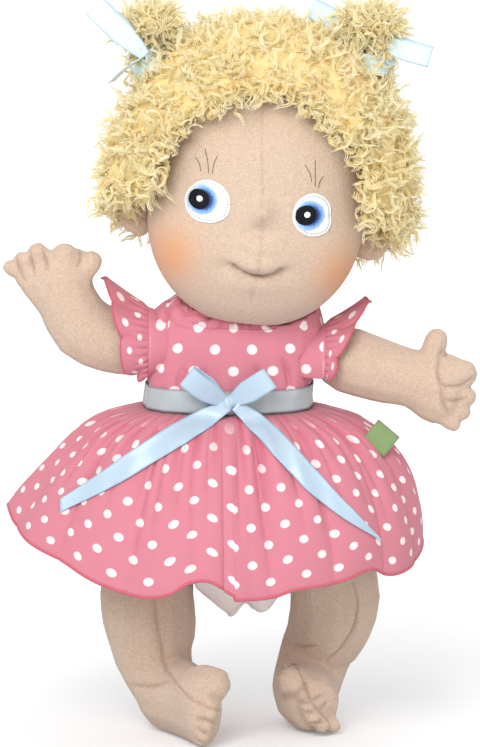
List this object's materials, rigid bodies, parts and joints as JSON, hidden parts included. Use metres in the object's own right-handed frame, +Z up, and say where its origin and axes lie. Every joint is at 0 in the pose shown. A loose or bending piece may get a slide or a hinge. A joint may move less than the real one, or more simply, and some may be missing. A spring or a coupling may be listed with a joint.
{
  "type": "cloth doll",
  "caption": "Stuffed fleece doll with a curly wig, hair bows, a dotted dress with flutter sleeves and a ribbon sash; its head, arms and legs turn.",
  "frame": {"origin": "on the floor, under the middle of the doll's outline", "axes": "+Z up through the head, the doll faces -Y, +X towards the doll's own left hand"},
  "size_m": [0.2042, 0.1356, 0.3183],
  "materials": {
    "skin": "short brushed fleece",
    "stuffing": "polyester fibre fill",
    "hair": "curly synthetic wig fibre on a cap",
    "dress": "printed woven cotton, white dots",
    "satin": "satin ribbon",
    "felt": "felt with embroidered pupil and iris",
    "underwear": "plain cotton",
    "label": "folded woven ribbon, bare",
    "tape": "hook-and-loop tape"
  },
  "bodies": {
    "trunk": {"trunk_skin": "skin", "trunk_stuffing": "stuffing", "underpants": "underwear", "bodice": "dress", "closure_tape": "tape", "back_placket": "dress", "sash_band": "satin", "sash_knot": "satin", "side_label": "label", "skirt_right": "dress", "skirt_left": "dress", "sleeve_right": "dress", "sleeve_left": "dress", "sash_loop_right": "satin", "sash_loop_left": "satin", "sash_tail_right": "satin", "sash_tail_left": "satin"},
    "head": {"head_skin": "skin", "head_stuffing": "stuffing", "wig_cap": "hair", "ear_right": "skin", "ear_left": "skin", "eye_right": "felt", "eye_left": "felt", "hair_bunch_right": "hair", "hair_bunch_left": "hair", "hair_bow_right": "satin", "hair_bow_left": "satin"},
    "arm_right": {"arm_skin_right": "skin", "arm_stuffing_right": "stuffing"},
    "arm_left": {"arm_skin_left": "skin", "arm_stuffing_left": "stuffing"},
    "leg_right": {"leg_skin_right": "skin", "leg_stuffing_right": "stuffing"},
    "leg_left": {"leg_skin_left": "skin", "leg_stuffing_left": "stuffing"}
  },
  "joints": [
    {"name": "neck_turn", "type": "hinge", "parent": "trunk", "child": "head", "pos_m": [0.00146, -0.008, 0.18184], "axis": [0.1132, 0, 0.9936], "range_deg": [-35, 35]},
    {"name": "shoulder_right", "type": "hinge", "parent": "trunk", "child": "arm_right", "pos_m": [-0.0475, -0.002, 0.1695], "axis": [0, 1, 0], "range_deg": [-25, 12], "deforming": ["sleeve_right"]},
    {"name": "shoulder_left", "type": "hinge", "parent": "trunk", "child": "arm_left", "pos_m": [0.046, -0.002, 0.1625], "axis": [0, -1, 0], "range_deg": [-15, 50], "deforming": ["sleeve_left"]},
    {"name": "hip_right", "type": "hinge", "parent": "trunk", "child": "leg_right", "pos_m": [-0.038, -0.001, 0.0775], "axis": [-1, 0, 0], "range_deg": [-20, 90], "deforming": ["skirt_right", "sash_tail_right"]},
    {"name": "hip_left", "type": "hinge", "parent": "trunk", "child": "leg_left", "pos_m": [0.038, 0, 0.0775], "axis": [-1, 0, 0], "range_deg": [-20, 90], "deforming": ["skirt_left", "sash_tail_left", "side_label"]}
  ]
}
